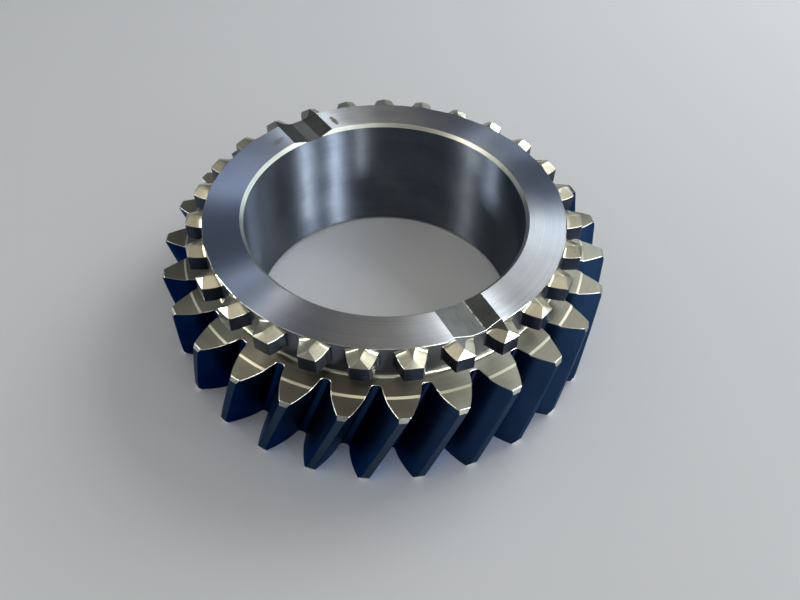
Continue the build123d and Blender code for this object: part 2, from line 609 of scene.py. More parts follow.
@dataclass(frozen=True)
class DogTeeth:
    """The dog clutch teeth, with hipped roofs, round the hub's top."""

    form: DogForm
    clocking: float
    underside: float
    top: float
    edge_drop: float
    slope: float = radians(30.0)
    runout: float = 0.8
    edge_break: float = 0.08
    crease: float = 0.06
    softness: float = 0.012
    crease_passes: int = 4
    ridge_points: int = 800
    half_columns: int = 6
    cone_steps: int = 3
    wall_steps: int = 6

    @property
    def places(self) -> np.ndarray:
        """Return the angle of each dog tooth's middle."""
        pitch = 2 * self.form.half_pitch
        return radians(-90) + self.clocking + pitch * np.arange(self.form.count)

    @property
    def eaves(self) -> float:
        """Return the height at which the roof meets the outer face."""
        return self.top - self.edge_drop

    def facet(self, x: np.ndarray, y: np.ndarray) -> np.ndarray:
        """Return the height of the roof facet on the side where y is positive.

        Args:
            x: Distances along the tooth's centre line, from the axis.
            y: Distances to the side of it.

        Returns:
            Heights, with the round run-out at the facet's foot.
        """
        along = x - self.form.root_radius
        aside = y - self.form.root_half_width
        depth = -along * sin(self.form.lean) - aside * cos(self.form.lean)
        from_hub = np.hypot(x, y) - self.form.root_radius
        near = np.clip(self.runout - from_hub, 0, self.runout)
        rise = self.runout - np.sqrt(np.maximum(0, self.runout**2 - near**2))
        return self.eaves + tan(self.slope) * depth + rise

    def crown(self, radius: Grid) -> Grid:
        """Return the height of the flat top and of the cone in front of it."""
        return np.minimum(self.top, self.eaves + self.form.tip_radius - radius)

    def roof(self, radius: np.ndarray, angle: np.ndarray) -> np.ndarray:
        """Return the roof's height.

        Args:
            radius: Distances from the axis.
            angle: Angles from the tooth's middle.

        Returns:
            Heights, with softly broken creases.
        """
        x = radius * np.cos(angle)
        y = radius * np.sin(angle)
        planes = np.stack([self.facet(x, y), self.facet(x, -y), self.crown(radius) + 0 * y])
        lowest = planes.min(axis=0)
        spread = np.exp(-(planes - lowest) / self.softness).sum(axis=0)
        return lowest - self.softness * np.log(spread)

    def crease_at(self, radius: float) -> float:
        """Find where a facet and the crown meet.

        Args:
            radius: Distance from the axis.

        Returns:
            The crease's distance from the tooth's centre line.
        """
        lean = self.form.lean
        depth = (float(self.crown(radius)) - self.eaves) / tan(self.slope)
        gap = 0.0
        for _ in range(self.crease_passes):
            along = sqrt(radius**2 - gap**2) - self.form.root_radius
            gap = self.form.root_half_width - (depth + along * sin(lean)) / cos(lean)
            gap = max(0.0, gap)
        return gap

    def ridge(self) -> tuple[float, float]:
        """Find the ridge, where the two facets meet below the crown.

        Returns:
            The radii at which it starts and ends.
        """
        radii = np.linspace(self.form.root_radius, self.form.tip_radius, self.ridge_points)
        bare = [radius for radius in radii if self.crease_at(radius) == 0.0]
        return bare[0], bare[-1]

    def shares(self) -> np.ndarray:
        """Space the roof's rows, with some at the ends of its creases.

        Returns:
            Their places as shares of the flank's height.
        """
        low = self.form.foot_radius
        high = self.form.tip_radius - self.form.corner
        start, end = self.ridge()
        turn = self.form.lean + self.form.tip_half_width / self.form.tip_radius
        clear = self.form.root_radius + self.runout
        cone = np.linspace(end, high, self.cone_steps + 1)[:-1]
        marks = np.concatenate([[clear, (clear + start) / 2, start], cone])
        marks += self.edge_break * sin(turn)
        return (np.append(marks, high) - low) / (high - low)

    def outline(self) -> tuple[np.ndarray, np.ndarray, np.ndarray]:
        """Lay the tooth's outline in plan.

        Returns:
            Its points from the hub to the land's edge, the same points inset
            for the edge breaks, and how far each was inset.
        """
        points = self.form.half_outline(self.form.tip_radius, self.shares())
        first = self.form.floor_steps
        steps = self.form.fillet_steps
        amounts = np.full(len(points), self.edge_break)
        amounts[:first] = 0.0
        amounts[first : first + steps + 1] *= np.linspace(0, 1, steps + 1)
        return points, self.form.inset(points, amounts), amounts

    def roof_grid(self) -> tuple[np.ndarray, np.ndarray, np.ndarray]:
        """Lay the roof's points, with columns along its creases.

        Returns:
            Radius, angle and height of each point, one row for each point of
            the outline from the hub to the land's edge.
        """
        _, inner, _ = self.outline()
        radii, edges = polar(inner[self.form.floor_steps :])
        angles = []
        for radius, edge in zip(radii, edges):
            width = radius * sin(edge)
            gap = min(self.crease_at(radius), width)
            near = min(gap + self.crease, width)
            rest = np.linspace(near, width, self.half_columns - 2)[1:]
            stops = np.array([0.0, max(gap - self.crease, 0.0), gap, near, *rest])
            half = np.arcsin(stops / radius)
            angles.append(np.concatenate([-half[::-1], half[1:]]))
        angles = np.stack(angles)
        radii = radii[:, None] * np.ones_like(angles)
        return radii, angles, self.roof(radii, angles)

    def lay_side(
        self, skin: Skin, wall: np.ndarray, border: np.ndarray, eave: np.ndarray, amounts: np.ndarray
    ) -> None:
        """Add one side of a tooth, with the broken edges above and below it.

        Args:
            skin: Where the sheets go.
            wall: Radii and angles of the side's points.
            border: Radii and angles of the same points on the roof's border.
            eave: Heights of the roof's border.
            amounts: How far the edges are broken at each point.
        """
        heights = rows(self.underside + amounts, eave - amounts, self.wall_steps)
        skin.sheet(*wall, heights, Region.DOG_SIDE)
        radii, angles = np.stack([wall, border], axis=1)
        foot = np.full_like(eave, self.underside)
        for level, end in ((heights[-1], eave), (heights[0], foot)):
            skin.sheet(radii, angles, np.stack([level, end]), Region.EDGE_BREAK)

    def lay(self, skin: Skin) -> None:
        """Add every dog tooth: roof, underside, flanks and outer face.

        Args:
            skin: Where the sheets go.
        """
        outline, _, amounts = self.outline()
        amounts = amounts[self.form.floor_steps :]
        edge_radii, edge_angles = polar(outline[self.form.floor_steps :])
        radii, angles, heights = self.roof_grid()
        outer = np.full_like(radii[-1], self.form.tip_radius)
        outer_angles = angles[-1] * (edge_angles[-1] / angles[-1, -1])
        outer_amounts = np.full_like(outer, self.edge_break)
        for place in self.places:
            skin.sheet(radii, place + angles, heights, Region.DOG_ROOF)
            skin.sheet(radii, place + angles, self.underside, Region.DOG_SIDE)
            for side in (-1, 1):
                wall = np.stack([edge_radii, place + side * edge_angles])
                border = np.stack([radii[:, -1], place + side * angles[:, -1]])
                self.lay_side(skin, wall, border, heights[:, -1], amounts)
            wall = np.stack([outer, place + outer_angles])
            border = np.stack([radii[-1], place + angles[-1]])
            self.lay_side(skin, wall, border, heights[-1], outer_amounts)
        LOG.info("dog teeth: %d", self.form.count)


@dataclass(frozen=True)
class Hub:
    """The turned hub: neck, outer wall, top face, bore and its chamfers."""

    teeth: HelicalTeeth
    dogs: DogTeeth
    bore_radius: float
    bore_chamfer: float
    neck_fillet: float = 0.75
    edge_break: float = 0.16
    least_wall: float = 0.02
    fillet_steps: int = 6
    face_steps: int = 3
    neck_steps: int = 3
    brow_steps: int = 3
    top_steps: int = 8
    lower_steps: int = 6
    bore_steps: int = 12

    @property
    def radius(self) -> float:
        """Return the radius of the hub's outer wall."""
        return self.dogs.form.root_radius

    @property
    def mouth_radius(self) -> float:
        """Return the radius of the bore's chamfered mouth."""
        return self.bore_radius + self.bore_chamfer

    def dog_ring(self) -> np.ndarray:
        """Return the angles of one pitch's columns round the hub."""
        _, angles, _ = self.dogs.roof_grid()
        return self.dogs.form.ring(self.dogs.outline()[0], angles[0])

    def roof_foot(self) -> np.ndarray:
        """Find where the wall starts above the roofs and the spaces.

        Returns:
            Its height at each column of a pitch.
        """
        _, _, roof = self.dogs.roof_grid()
        space = np.full(self.dogs.form.floor_steps, roof[0, -1])
        return np.concatenate([space, roof[0], space])

    def brim(self) -> np.ndarray:
        """Return the width of the top edge's break at each column of a pitch."""
        return np.clip(self.dogs.top - self.roof_foot() - self.least_wall, 0, self.edge_break)

    def pitches(self, outline: np.ndarray, height: float) -> Iterator[tuple[np.ndarray, np.ndarray]]:
        """Go round the gear pitch by pitch.

        Args:
            outline: Plan points of half a helical tooth.
            height: The height at which the outline lies.

        Yields:
            The columns' angles at the gear's root and at the dog ring.
        """
        gear_ring = self.teeth.ring(outline) + self.teeth.twist(height)
        dog_ring = self.dog_ring()
        for gear_place, dog_place in zip(self.teeth.places, self.dogs.places):
            yield gear_place + gear_ring, dog_place + dog_ring

    def lay(self, skin: Skin) -> None:
        """Add every sheet of the hub.

        Args:
            skin: Where the sheets go.
        """
        self.lay_outside(skin)
        self.lay_top(skin)
        self.lay_inside(skin)
        LOG.info("hub: bore of %.1f mm", 2 * self.bore_radius)

    def lay_outside(self, skin: Skin) -> None:
        """Add the neck, and the wall between and above the dog teeth.

        Args:
            skin: Where the sheets go.
        """
        base, dogs = self.teeth.face_height, self.dogs
        upper, _ = self.teeth.face_rows(self.teeth.rim_height, True)
        face_radii = rows(polar(upper)[0][0], self.radius + self.neck_fillet, self.face_steps)
        arc = rows(0, pi / 2, self.fillet_steps)
        fillet_radii = self.radius + self.neck_fillet * (1 - np.sin(arc))
        fillet_heights = base + self.neck_fillet * (1 - np.cos(arc))
        neck = rows(base + self.neck_fillet, dogs.underside, self.neck_steps)
        blend = rows(0, 1, self.neck_steps)
        foot = self.roof_foot()
        wall = rows(dogs.underside, foot[0], dogs.wall_steps)
        brow = rows(foot, dogs.top - self.brim(), self.brow_steps)
        rim_radii = rows(self.radius, self.radius - self.brim(), 1)
        rim_heights = rows(brow[-1], dogs.top, 1)
        space = dogs.form.floor_steps + 1
        for start, finish in self.pitches(upper, base):
            skin.sheet(face_radii, start, base, Region.GEAR_FACE)
            skin.sheet(fillet_radii, start, fillet_heights, Region.FACE_STEP)
            skin.sheet(self.radius, start * (1 - blend) + finish * blend, neck, Region.NECK)
            for part in (finish[:space], finish[-space:]):
                skin.sheet(self.radius, part, wall, Region.NECK)
            skin.sheet(self.radius, finish, brow, Region.NECK)
            skin.sheet(rim_radii, finish, rim_heights, Region.EDGE_BREAK)

    def lay_top(self, skin: Skin) -> None:
        """Add the hub face.

        Args:
            skin: Where the sheets go.
        """
        ring = self.dog_ring()
        radii = rows(self.radius - self.brim(), self.mouth_radius, self.top_steps)
        for place in self.dogs.places:
            skin.sheet(radii, place + ring, self.dogs.top, Region.HUB_FACE)

    def lay_inside(self, skin: Skin) -> None:
        """Add the bore with its two chamfers, and the lower face's inner part.

        Args:
            skin: Where the sheets go.
        """
        lower, _ = self.teeth.face_rows(0.0, False)
        face_radii = rows(polar(lower)[0][0], self.mouth_radius, self.lower_steps)
        low, high = self.bore_chamfer, self.dogs.top - self.bore_chamfer
        wall = rows(low, high, self.bore_steps)
        blend = rows(0, 1, self.bore_steps)
        rims = rows(self.mouth_radius, self.bore_radius, 1)
        for start, finish in self.pitches(lower, 0.0):
            skin.sheet(face_radii, start, 0.0, Region.LOWER_FACE)
            skin.sheet(rims, start, rows(0.0, low, 1), Region.BORE_CHAMFER)
            skin.sheet(rims, finish, rows(self.dogs.top, high, 1), Region.BORE_CHAMFER)
            skin.sheet(self.bore_radius, start * (1 - blend) + finish * blend, wall, Region.BORE)


# --------------------------------------------------------------------------
# Oil grooves
# --------------------------------------------------------------------------


@dataclass(frozen=True)
class OilGrooves:
    """The two shallow grooves cut across the hub's top face."""

    hub: Hub
    spaces: tuple[int, ...] = (2, 16)
    width: float = 13.6
    floor_width: float = 4.0
    depth: float = 1.1
    overrun: float = 2.0
    mouth_break: float = 0.5
    mouth_reach: float = 0.03

    @property
    def places(self) -> tuple[float, ...]:
        """Return the angle of each groove's middle."""
        first, half = float(self.hub.dogs.places[0]), self.hub.dogs.form.half_pitch
        return tuple(first + half * (2 * space + 1) for space in self.spaces)

    def section(self) -> list[tuple[float, float]]:
        """Lay the cutter's corners across the groove.

        Returns:
            The corners as (side, height).
        """
        top = self.hub.dogs.top
        slope = (self.width - self.floor_width) / (2 * self.depth)
        side = self.width / 2 + slope * self.overrun
        half = self.floor_width / 2
        high, floor = top + self.overrun, top - self.depth
        return [(-side, high), (-half, floor), (half, floor), (side, high)]

    def prism(
        self, name: str, place: float, corners: list[tuple[float, ...]], kinds: tuple[Region, ...]
    ) -> bpy.types.Object:
        """Close eight corners into a cutter with a finish for each of its faces.

        Args:
            name: The cutter's name.
            place: The groove's angle round the axis.
            corners: Four corners at the start and the same four at the end.
            kinds: The regions of the start, the end and the four sides.

        Returns:
            The cutter, linked to the scene.
        """
        turn = Matrix.Rotation(place, 4, "Z")
        points = [turn @ Vector(corner) * MM for corner in corners]
        faces = [(0, 1, 2, 3), (7, 6, 5, 4)]
        faces += [(k, k + 4, (k + 1) % 4 + 4, (k + 1) % 4) for k in range(4)]
        mesh = bpy.data.meshes.new(name)
        mesh.from_pydata(points, [], faces)
        give_slots(mesh)
        mesh.polygons.foreach_set("material_index", [kind.slot for kind in kinds])
        with editing(mesh) as work:
            bmesh.ops.recalc_face_normals(work, faces=work.faces)
        return put(name, mesh)

    def trough(self, name: str, place: float) -> bpy.types.Object:
        """Build the straight prism that cuts one groove.

        Args:
            name: The cutter's name.
            place: The groove's angle round the axis.

        Returns:
            The cutter, linked to the scene.
        """
        start = self.hub.bore_radius - self.overrun
        end = self.hub.dogs.form.tip_radius + self.overrun
        corners = [(x, y, z) for x in (start, end) for y, z in self.section()]
        side, floor = Region.GROOVE_SIDE, Region.GROOVE_FLOOR
        return self.prism(name, place, corners, (side, side, side, floor, side, side))

    def mouth(self, name: str, place: float) -> bpy.types.Object:
        """Build the cutter that breaks the edge where a groove leaves the hub.

        Args:
            name: The cutter's name.
            place: The groove's angle round the axis.

        Returns:
            The cutter, linked to the scene.
        """
        start = self.hub.radius - self.mouth_break
        corners = []
        for radius in (start, self.hub.radius + self.mouth_reach):
            for y, z in self.section():
                corners.append((sqrt(radius**2 - y**2), y, z - (radius - start)))
        return self.prism(name, place, corners, (Region.EDGE_BREAK,) * 6)

    def cut(self, piece: bpy.types.Object) -> None:
        """Cut both grooves into the gear, then break the edges at their mouths.

        Args:
            piece: The gear.
        """
        for number, place in enumerate(self.places):
            trough = self.trough(f"groove_{number}", place)
            for tool in (trough, self.mouth(f"mouth_{number}", place)):
                step = piece.modifiers.new(tool.name, "BOOLEAN")
                step.operation = "DIFFERENCE"
                step.solver = "MANIFOLD"
                step.material_mode = "TRANSFER"
                step.object = tool
                bpy.context.view_layer.update()
                graph = bpy.context.evaluated_depsgraph_get()
                mesh = bpy.data.meshes.new_from_object(piece.evaluated_get(graph))
                piece.modifiers.clear()
                piece.data = mesh
                bpy.data.objects.remove(tool)
        LOG.info("oil grooves: %d", len(self.spaces))


# --------------------------------------------------------------------------
# Shader building
# --------------------------------------------------------------------------


@dataclass(frozen=True)
class Value:
    """A number in a node tree; arithmetic on it adds Math nodes."""

    tree: Nodes
    socket: bpy.types.NodeSocket

    def _math(self, operation: str, *values: Value | float) -> Value:
        """Return the result of a Math node."""
        node = self.tree.add("ShaderNodeMath", {"operation": operation}, dict(enumerate(values)))
        return Value(self.tree, node.outputs[0])

    def __add__(self, other: Value | float) -> Value:
        """Return the sum."""
        return self._math("ADD", self, other)

    __radd__ = __add__

    def __sub__(self, other: Value | float) -> Value:
        """Return the difference."""
        return self._math("SUBTRACT", self, other)

    def __rsub__(self, other: float) -> Value:
        """Return a number less this value."""
        return self._math("SUBTRACT", other, self)

    def __mul__(self, other: Value | float) -> Value:
        """Return the product."""
        return self._math("MULTIPLY", self, other)

    __rmul__ = __mul__

    def __truediv__(self, other: Value | float) -> Value:
        """Return the quotient."""
        return self._math("DIVIDE", self, other)

    def __abs__(self) -> Value:
        """Return the value without its sign."""
        return self._math("ABSOLUTE", self)

    def length_with(self, other: Value) -> Value:
        """Return the length of a plane vector made of this value and another."""
        return self._math("SQRT", self * self + other * other)

    def angle_to(self, other: Value) -> Value:
        """Return the angle whose tangent is this value over the other."""
        return self._math("ARCTAN2", self, other)

    def clamp(self) -> Value:
        """Return the value held between 0 and 1."""
        return self._math("MAXIMUM", self._math("MINIMUM", self, 1.0), 0.0)

    def ramp(self, low: float, high: float) -> Value:
        """Rise smoothly from 0 to 1.

        Args:
            low: Where the rise starts.
            high: Where it ends.

        Returns:
            How far this value is up the rise.
        """
        settings = {"interpolation_type": "SMOOTHSTEP"}
        inputs = {"Value": self, "From Min": low, "From Max": high, "To Min": 0.0, "To Max": 1.0}
        return Value(self.tree, self.tree.add("ShaderNodeMapRange", settings, inputs).outputs["Result"])


@dataclass(frozen=True)
class Nodes:
    """The node tree of one material or world."""

    tree: bpy.types.NodeTree

    def add(self, kind: str, settings: dict, inputs: dict) -> bpy.types.Node:
        """Add a node.

        Args:
            kind: The node's type.
            settings: Properties, set first.
            inputs: Values or links for its sockets, by name or number.

        Returns:
            The node.
        """
        node = self.tree.nodes.new(kind)
        for name, setting in settings.items():
            setattr(node, name, setting)
        for key, value in inputs.items():
            source = value.socket if isinstance(value, Value) else value
            if isinstance(source, bpy.types.NodeSocket):
                self.tree.links.new(source, node.inputs[key])
            else:
                node.inputs[key].default_value = source
        return node

    def split(self, output: str) -> tuple[Value, Value, Value]:
        """Split a texture coordinate.

        Args:
            output: The coordinate's name.

        Returns:
            Its three parts.
        """
        source = self.add("ShaderNodeTexCoord", {}, {}).outputs[output]
        parts = self.add("ShaderNodeSeparateXYZ", {}, {"Vector": source})
        return tuple(Value(self, parts.outputs[axis]) for axis in "XYZ")

    def place(self) -> tuple[Value, Value, Value]:
        """Return the object-space position, in millimetres."""
        return tuple(part * (1 / MM) for part in self.split("Object"))

    def noise(self, parts: tuple[Value, ...], detail: float, roughness: float) -> Value:
        """Return noise between 0 and 1.

        Args:
            parts: Where to read it, as three values.
            detail: How many finer layers it has.
            roughness: How strong the finer layers are.

        Returns:
            The noise.
        """
        vector = self.add("ShaderNodeCombineXYZ", {}, dict(zip("XYZ", parts))).outputs[0]
        inputs = {"Vector": vector, "Scale": 1.0, "Detail": detail, "Roughness": roughness}
        return Value(self, self.add("ShaderNodeTexNoise", {}, inputs).outputs["Fac"])

    def mix(self, share: Value | float, first: object, second: object) -> bpy.types.NodeSocket:
        """Return a colour between two colours.

        Args:
            share: How much of the second colour there is.
            first: A colour or a colour socket.
            second: A colour or a colour socket.

        Returns:
            The mixed colour's socket.
        """
        settings = {"data_type": "RGBA", "clamp_factor": True}
        inputs = {0: share, 6: rgba(first), 7: rgba(second)}
        return self.add("ShaderNodeMix", settings, inputs).outputs[2]


def rgba(colour: object) -> object:
    """Return a three-part colour with alpha added, and anything else as it is."""
    return (*colour, 1.0) if isinstance(colour, tuple) and len(colour) == 3 else colour


@dataclass(frozen=True)
class Grain:
    """Noise with a scale of its own along each of three directions."""

    scales: tuple[float, float, float]
    detail: float = 2.0
    roughness: float = 0.5

    def at(self, nodes: Nodes, *place: Value) -> Value:
        """Return the grain at a place, between 0 and 1."""
        parts = tuple(part * scale for part, scale in zip(place, self.scales))
        return nodes.noise(parts, self.detail, self.roughness)


@dataclass(frozen=True)
class Stain:
    """A soft spot on a face, at a place given in polar form and degrees."""

    bearing: float
    radius: float
    length: float
    width: float
    slant: float
    colour: Colour
    strength: float
    raggedness: float = 0.9
    core: float = 0.45

    def share(self, x: Value, y: Value, ragged: Value) -> Value:
        """Return how strongly the stain shows.

        Args:
            x: Position along X, in millimetres.
            y: Position along Y, in millimetres.
            ragged: Noise that breaks up the stain's edge.

        Returns:
            A share between 0 and the stain's strength.
        """
        place, slant = radians(self.bearing), radians(self.slant)
        dx = x - self.radius * cos(place)
        dy = y - self.radius * sin(place)
        along = (dx * cos(slant) + dy * sin(slant)) / self.length
        across = (dy * cos(slant) - dx * sin(slant)) / self.width
        reach = along.length_with(across) + (ragged - 0.5) * self.raggedness
        return (1.0 - reach.ramp(self.core, 1.0)) * self.strength


# --------------------------------------------------------------------------
# Finishes
# --------------------------------------------------------------------------

CLOUD = Grain((0.08, 0.08, 0.08), detail=3.0)
# A quarter turn, which stretches reflections across the turning marks.
ACROSS_THE_MARKS = 0.25


@dataclass(frozen=True)
class Finish:
    """Bare steel with fine marks; the base of the gear's finishes.

    Its colour wanders between a dark and a light one. Spread is how far its
    roughness wanders, and edge colours its reflections at a glancing angle.
    """

    region: Region
    dark: Colour
    light: Colour
    roughness: float = 0.3
    spread: float = 0.1
    anisotropic: float = 0.0
    stretch: float = 0.0
    bump: float = 0.1
    mark_depth: float = 0.0001
    edge: Colour = (1.0, 1.0, 1.0)
    contrast: float = 0.6
    cloudiness: float = 0.8
    lift: float = 0.1
    coarse: Grain = Grain((1.5, 1.5, 1.5), 4.0, 0.6)

    def marks(self, nodes: Nodes) -> Value:
        """Return the fine tool marks, between 0 and 1."""
        return self.coarse.at(nodes, *nodes.place())

    def tone(self, nodes: Nodes, marks: Value, cloud: Value) -> bpy.types.NodeSocket:
        """Return the metal's colour.

        Args:
            nodes: The material's nodes.
            marks: The tool marks.
            cloud: Wide, soft noise.

        Returns:
            The colour's socket.
        """
        share = (marks - 0.5) * self.contrast + cloud * self.cloudiness + self.lift
        return nodes.mix(share.clamp(), self.dark, self.light)

    def build(self) -> bpy.types.Material:
        """Make the material.

        Returns:
            The material, named for its region.
        """
        material = bpy.data.materials.new(self.region.value)
        material.use_nodes = True
        tree = material.node_tree
        tree.nodes.clear()
        nodes = Nodes(tree)
        marks = self.marks(nodes)
        cloud = CLOUD.at(nodes, *nodes.place())
        relief = {"Strength": self.bump, "Distance": self.mark_depth, "Height": marks}
        shader = nodes.add("ShaderNodeBsdfPrincipled", {}, {
            "Base Color": self.tone(nodes, marks, cloud),
            "Metallic": 1.0,
            "Roughness": (marks - 0.5) * self.spread + (cloud - 0.5) * self.spread + self.roughness,
            "Anisotropic": self.anisotropic,
            "Anisotropic Rotation": self.stretch,
            "Specular Tint": rgba(self.edge),
            "Normal": nodes.add("ShaderNodeBump", {}, relief).outputs["Normal"],
        })
        nodes.add("ShaderNodeOutputMaterial", {}, {"Surface": shader.outputs["BSDF"]})
        return material


@dataclass(frozen=True)
class StreakedFinish(Finish):
    """Steel whose marks are fine streaks over coarse ones."""

    fine: Grain = Grain((1.0, 1.0, 1.0))
    fine_share: float = 0.6

    def blend(self, fine: Value, coarse: Value) -> Value:
        """Return the fine and the coarse marks together."""
        return fine * self.fine_share + coarse * (1 - self.fine_share)


@dataclass(frozen=True)
class HelixFinish(StreakedFinish):
    """Ground gear flanks, with faint streaks along the teeth."""

    twist: float = 0.0
    fine: Grain = Grain((2.2, 90.0, 0.05), 3.0, 0.6)
    coarse: Grain = Grain((0.5, 20.0, 0.03))

    def marks(self, nodes: Nodes) -> Value:
        """Return streaks that run along each tooth.

        Args:
            nodes: The material's nodes.

        Returns:
            The streaks, between 0 and 1.
        """
        x, y, z = nodes.place()
        place = (x.length_with(y), y.angle_to(x) - z * self.twist, z)
        return self.blend(self.fine.at(nodes, *place), self.coarse.at(nodes, *place))


@dataclass(frozen=True)
class TurnedFinish(StreakedFinish):
    """Lathe-turned or ground steel, with marks in circles round the axis."""

    pitch: float = 0.25
    fine: Grain = Grain((1.0, 0.02, 0.02), 3.0, 0.7)
    coarse: Grain = Grain((0.25, 0.01, 0.01))

    def circles(self, nodes: Nodes, grain: Grain) -> Value:
        """Return marks in circles.

        Args:
            nodes: The material's nodes.
            grain: The marks' scales: out from the axis as a share of the
                pitch's, and the drift along each circle.

        Returns:
            The marks, between 0 and 1.
        """
        x, y, z = nodes.place()
        outward, along_x, along_y = grain.scales
        width = self.pitch / outward
        parts = (x.length_with(y) / width, x * along_x + z / self.pitch, y * along_y)
        return nodes.noise(parts, grain.detail, grain.roughness)

    def marks(self, nodes: Nodes) -> Value:
        """Return concentric marks, with a little drift along each circle."""
        return self.blend(self.circles(nodes, self.fine), self.circles(nodes, self.coarse))


@dataclass(frozen=True)
class GrooveFinish(StreakedFinish):
    """Milled steel, with marks along each groove and a broken burr beside the front floor."""

    bearings: tuple[float, ...] = ()
    fine: Grain = Grain((2.6, 0.22, 1.0), 3.0, 0.65)
    coarse: Grain = Grain((0.35, 0.35, 0.35), 3.0)
    fine_share: float = 0.65
    burr: Colour = (0.8, 0.79, 0.7)
    burr_place: float = 2.0
    burr_width: float = 0.32
    burr_grain: Grain = Grain((1.3, 1.3, 1.3), 3.0)
    burr_gaps: tuple[float, float] = (0.38, 0.56)
    between: float = 1.0

    def back(self, y: Value) -> Value:
        """Return 0 on the front groove and 1 on the back one."""
        return y.ramp(-self.between, self.between)

    def across(self, nodes: Nodes) -> Value:
        """Measure across the nearer groove.

        Args:
            nodes: The material's nodes.

        Returns:
            The distance from the groove's middle, in millimetres.
        """
        x, y, _ = nodes.place()
        front, rear = (y * cos(bearing) - x * sin(bearing) for bearing in self.bearings)
        return front * (1.0 - self.back(y)) + rear * self.back(y)

    def marks(self, nodes: Nodes) -> Value:
        """Return streaks along the groove.

        Args:
            nodes: The material's nodes.

        Returns:
            The streaks, between 0 and 1.
        """
        x, y, z = nodes.place()
        fine = self.fine.at(nodes, self.across(nodes), x.length_with(y), z)
        return self.blend(fine, self.coarse.at(nodes, x, y, z))

    def tone(self, nodes: Nodes, marks: Value, cloud: Value) -> bpy.types.NodeSocket:
        """Return the metal's colour, with the burr over it.

        Args:
            nodes: The material's nodes.
            marks: The tool marks.
            cloud: Wide, soft noise.

        Returns:
            The colour's socket.
        """
        x, y, z = nodes.place()
        broken = self.burr_grain.at(nodes, x, y, z).ramp(*self.burr_gaps)
        line = 1.0 - abs(self.across(nodes) - self.burr_place).ramp(0.0, self.burr_width)
        share = line * broken * (1.0 - self.back(y))
        return nodes.mix(share, super().tone(nodes, marks, cloud), self.burr)


@dataclass(frozen=True)
class HubFaceFinish(TurnedFinish):
    """The ground hub face, with painted cool reflections toward two sides and a few stains.

    Each painted reflection has a bearing in degrees, and the shares of its reach
    at which it starts and is full.
    """

    painted_reflection: Colour = (0.13, 0.17, 0.27)
    reflection_sides: tuple[tuple[float, float, float], ...] = ((185.0, 0.2, 0.72), (42.0, 0.5, 0.8))
    reflection_reach: float = 60.0
    reflection_raggedness: float = 0.5
    reflection_strength: float = 0.75
    ragged: Grain = Grain((1.1, 1.1, 1.1), 3.0)
    stains: tuple[Stain, ...] = (
        Stain(111.7, 45.1, 3.2, 1.1, 124.0, (0.05, 0.04, 0.018), 0.85),
        Stain(137.4, 45.2, 3.0, 1.4, 60.0, (0.12, 0.12, 0.12), 0.5),
    )

    def tone(self, nodes: Nodes, marks: Value, cloud: Value) -> bpy.types.NodeSocket:
        """Return the metal's colour, with painted reflections and stains.

        Args:
            nodes: The material's nodes.
            marks: The tool marks.
            cloud: Wide, soft noise.

        Returns:
            The colour's socket.
        """
        x, y, z = nodes.place()
        colour = super().tone(nodes, marks, cloud)
        # Painted reflection: cool blue laid on two sides of the face, where a blue surround would show
        # in it.
        for bearing, start, full in self.reflection_sides:
            toward = x * cos(radians(bearing)) + y * sin(radians(bearing))
            wavering = toward / self.reflection_reach + (cloud - 0.5) * self.reflection_raggedness
            colour = nodes.mix(wavering.ramp(start, full) * self.reflection_strength, colour, self.painted_reflection)
        ragged = self.ragged.at(nodes, x, y, z)
        for stain in self.stains:
            colour = nodes.mix(stain.share(x, y, ragged), colour, stain.colour)
        return colour


